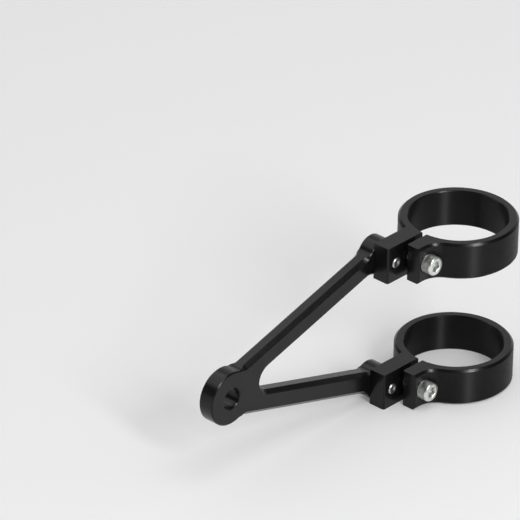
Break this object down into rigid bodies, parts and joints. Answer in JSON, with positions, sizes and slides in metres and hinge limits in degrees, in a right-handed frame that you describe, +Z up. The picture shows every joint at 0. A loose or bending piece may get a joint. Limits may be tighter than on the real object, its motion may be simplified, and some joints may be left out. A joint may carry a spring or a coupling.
{
  "type": "headlight mounting bracket",
  "caption": "Flat V-shaped bracket arm with an eye for the lamp bolt, screwed to split clamps that grip a motorcycle fork tube and carry one side of a headlight.",
  "frame": {"origin": "on the fork tube's axis, midway between the two clamps", "axes": "+Z up the fork tube, +X from the fork towards the lamp eye, +Y from the arm towards the pinch screw heads"},
  "size_m": [0.1674, 0.0514, 0.0782],
  "materials": {
    "black_anodised": "satin black anodised",
    "screw_steel": "bright zinc plated"
  },
  "bodies": {
    "root": {"arm": "black_anodised", "upper_clamp": "black_anodised", "lower_clamp": "black_anodised", "upper_pinch_screw": "screw_steel", "lower_pinch_screw": "screw_steel", "upper_arm_screw": "screw_steel", "lower_arm_screw": "screw_steel"}
  },
  "joints": []
}
